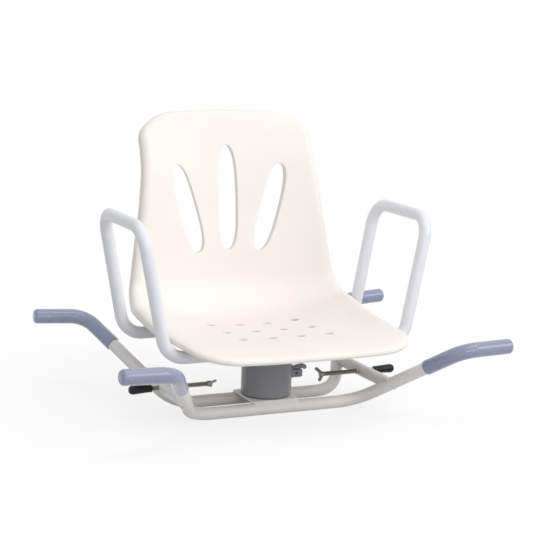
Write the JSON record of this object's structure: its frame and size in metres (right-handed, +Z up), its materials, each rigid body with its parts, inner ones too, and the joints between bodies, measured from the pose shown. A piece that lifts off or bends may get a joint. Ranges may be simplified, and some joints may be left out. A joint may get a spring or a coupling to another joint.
{
  "type": "swivel bath seat",
  "caption": "Moulded bucket seat with tube armrests that turns on a column over bent tube bars, whose arms lie on the rims of a bath, with a swivel lock and screwed side feet.",
  "frame": {"origin": "on the swivel axis, at the height of the floor under the bars", "axes": "+Z up along the swivel axis, -Y the way a sitter faces, +X to the right as seen from in front"},
  "size_m": [0.7052, 0.4746, 0.5023],
  "materials": {
    "seat": "warm white moulded plastic, satin",
    "armrest": "cool white coated steel tube, satin",
    "frame": "white coated steel tube, satin",
    "grip": "blue-grey dipped vinyl, glossy",
    "housing": "dark grey plastic, satin",
    "steel": "plated steel, dull",
    "bearing": "natural acetal, matte",
    "rubber": "black rubber, soft sheen"
  },
  "bodies": {
    "base": {"front_bar": "frame", "rear_bar": "frame", "left_brace": "frame", "right_brace": "frame", "base_plate": "frame", "front_left_grip": "grip", "front_right_grip": "grip", "rear_left_grip": "grip", "rear_right_grip": "grip", "spindle": "steel", "spindle_bolt_1": "steel", "spindle_bolt_2": "steel", "spindle_bolt_3": "steel", "spindle_bolt_4": "steel", "index_plate": "steel", "thrust_washer": "bearing", "retaining_washer": "steel", "retaining_bolt": "steel", "left_bush": "steel", "right_bush": "steel"},
    "seat": {"seat_shell": "seat", "left_armrest": "armrest", "right_armrest": "armrest", "support_plate": "steel", "hub_tube": "steel", "lower_bush": "bearing", "upper_bush": "bearing", "column_cover": "housing", "cover_screw_1": "steel", "cover_screw_2": "steel", "cover_screw_3": "steel", "lock_housing": "housing", "lever_pin": "steel", "left_front_seat_bolt": "steel", "left_rear_seat_bolt": "steel", "right_front_seat_bolt": "steel", "right_rear_seat_bolt": "steel"},
    "lock_lever": {"lock_lever": "housing"},
    "left_foot": {"left_foot": "rubber"},
    "right_foot": {"right_foot": "rubber"},
    "left_screw": {"left_screw": "steel", "left_wing": "steel"},
    "right_screw": {"right_screw": "steel", "right_wing": "steel"}
  },
  "joints": [
    {"name": "seat_swivel", "type": "hinge", "parent": "base", "child": "seat", "pos_m": [0, 0, 0.06], "axis": [0, 0, 1], "continuous": true},
    {"name": "lock_lever_pivot", "type": "hinge", "parent": "seat", "child": "lock_lever", "pos_m": [0.054, 0, 0.06], "axis": [0, -1, 0], "range_deg": [0, 9.5]},
    {"name": "left_foot_slide", "type": "slide", "parent": "base", "child": "left_foot", "axis": [-1, 0, 0], "range_m": [-0.0075, 0.06]},
    {"name": "left_screw_spin", "type": "hinge", "parent": "left_foot", "child": "left_screw", "pos_m": [-0.107, 0, 0.05203], "axis": [-1, 0, 0], "range_deg": [-2160.5, 17280.5]},
    {"name": "right_foot_slide", "type": "slide", "parent": "base", "child": "right_foot", "axis": [1, 0, 0], "range_m": [-0.0075, 0.06]},
    {"name": "right_screw_spin", "type": "hinge", "parent": "right_foot", "child": "right_screw", "pos_m": [0.107, 0, 0.05203], "axis": [1, 0, 0], "range_deg": [-2160.5, 17280.5]}
  ],
  "couplings": [
    {"joint": "left_screw_spin", "follows": "left_foot_slide", "rad_per_m": 5026.5},
    {"joint": "right_screw_spin", "follows": "right_foot_slide", "rad_per_m": 5026.5}
  ]
}
